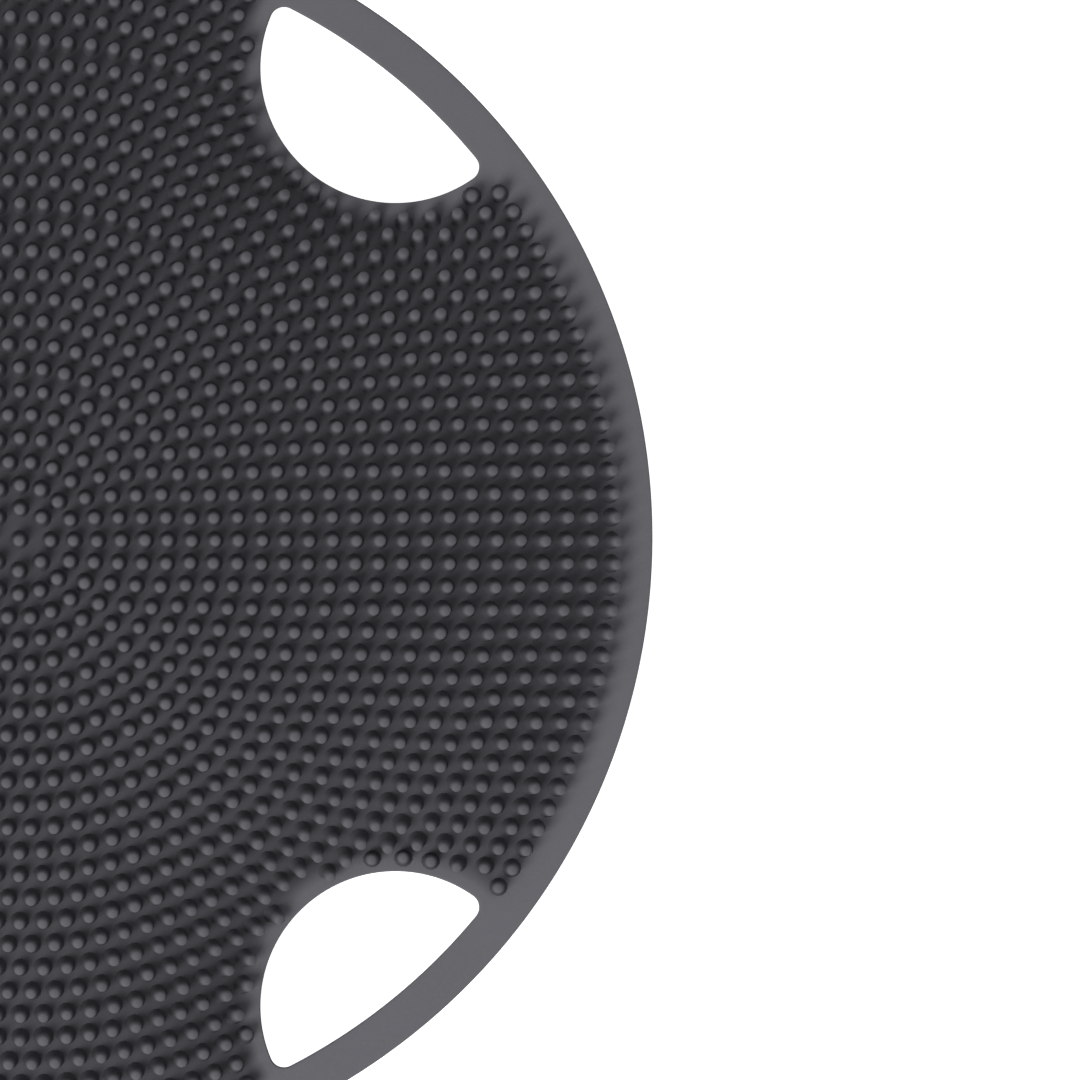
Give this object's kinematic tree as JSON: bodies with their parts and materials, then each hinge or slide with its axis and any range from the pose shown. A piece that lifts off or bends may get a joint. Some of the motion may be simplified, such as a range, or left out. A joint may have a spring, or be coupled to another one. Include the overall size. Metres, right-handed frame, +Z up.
{
  "type": "wobble cushion",
  "caption": "Round inflated balance cushion with a field of moulded massage nubs, a flat welded rim with hand holes, and an air valve underneath.",
  "frame": {"origin": "centre of the flat patch that the cushion rests on, at floor level", "axes": "+Z up out of the nubbed side; X and Y are the mirror lines between the hand holes, and the valve is on the -X side underneath"},
  "size_m": [0.4, 0.4, 0.057],
  "materials": {
    "upper_skin": "matte",
    "lower_skin": "matte",
    "valve_collar": "satin",
    "valve_core": "matte",
    "valve_plug": "satin"
  },
  "bodies": {
    "cushion": {"upper_skin": "upper_skin", "lower_skin": "lower_skin", "valve_collar": "valve_collar", "valve_core": "valve_core"},
    "plug": {"valve_plug": "valve_plug"}
  },
  "joints": [
    {"name": "valve_plug_pull", "type": "slide", "parent": "cushion", "child": "plug", "axis": [-0.2063, 0, -0.9785], "range_m": [0, 0.01]}
  ]
}
